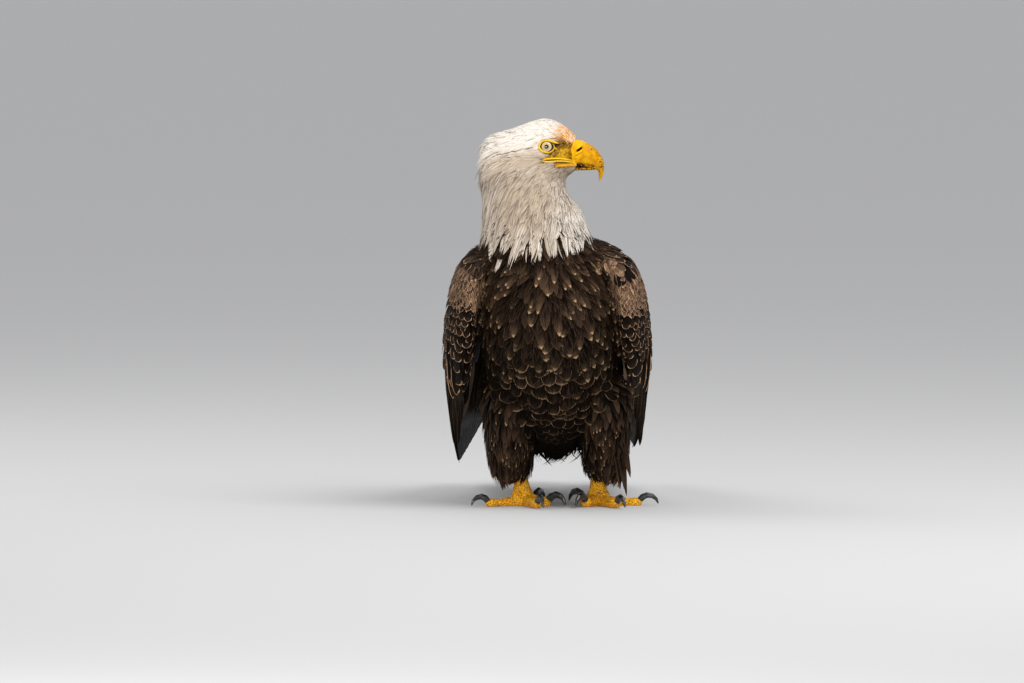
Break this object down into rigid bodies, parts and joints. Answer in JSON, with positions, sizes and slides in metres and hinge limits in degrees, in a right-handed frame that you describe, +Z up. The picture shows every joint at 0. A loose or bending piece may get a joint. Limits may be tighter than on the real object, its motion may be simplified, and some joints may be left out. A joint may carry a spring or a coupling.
{
  "type": "bald eagle",
  "caption": "Bald eagle at life size, standing with its head turned to its left and its wings hanging loosely folded; rests on the flat soles of its toes.",
  "frame": {"origin": "middle of the bird's box in plan, at the level of the soles", "axes": "+Z up, -Y the way the breast faces, +Y back towards the tail, +X the bird's left"},
  "size_m": [0.295, 0.5644, 0.5308],
  "materials": {
    "white_plumage": "soft white feathers, matte",
    "brown_plumage": "dark brown feathers with paler edges, matte",
    "flight_feathers": "stiff blackish brown feathers, slight sheen",
    "eye": "wet, pale yellow iris",
    "cere": "bare yellow skin",
    "bill_horn": "smooth yellow horn, satin",
    "foot_scales": "scaled yellow skin",
    "claw_horn": "black horn, satin"
  },
  "bodies": {
    "root": {"head": "white_plumage", "neck": "white_plumage", "tail": "white_plumage", "trunk": "brown_plumage", "wing_right_coverts": "brown_plumage", "wing_left_coverts": "brown_plumage", "thigh_right": "brown_plumage", "thigh_left": "brown_plumage", "wing_right_flight": "flight_feathers", "wing_left_flight": "flight_feathers", "eye_right": "eye", "eye_left": "eye", "cere": "cere", "bill_upper": "bill_horn", "bill_lower": "bill_horn", "shank_right": "foot_scales", "shank_left": "foot_scales", "toe_right_hind": "foot_scales", "toe_right_inner": "foot_scales", "toe_right_middle": "foot_scales", "toe_right_outer": "foot_scales", "toe_left_hind": "foot_scales", "toe_left_inner": "foot_scales", "toe_left_middle": "foot_scales", "toe_left_outer": "foot_scales", "claw_right_hind": "claw_horn", "claw_right_inner": "claw_horn", "claw_right_middle": "claw_horn", "claw_right_outer": "claw_horn", "claw_left_hind": "claw_horn", "claw_left_inner": "claw_horn", "claw_left_middle": "claw_horn", "claw_left_outer": "claw_horn"}
  },
  "joints": []
}
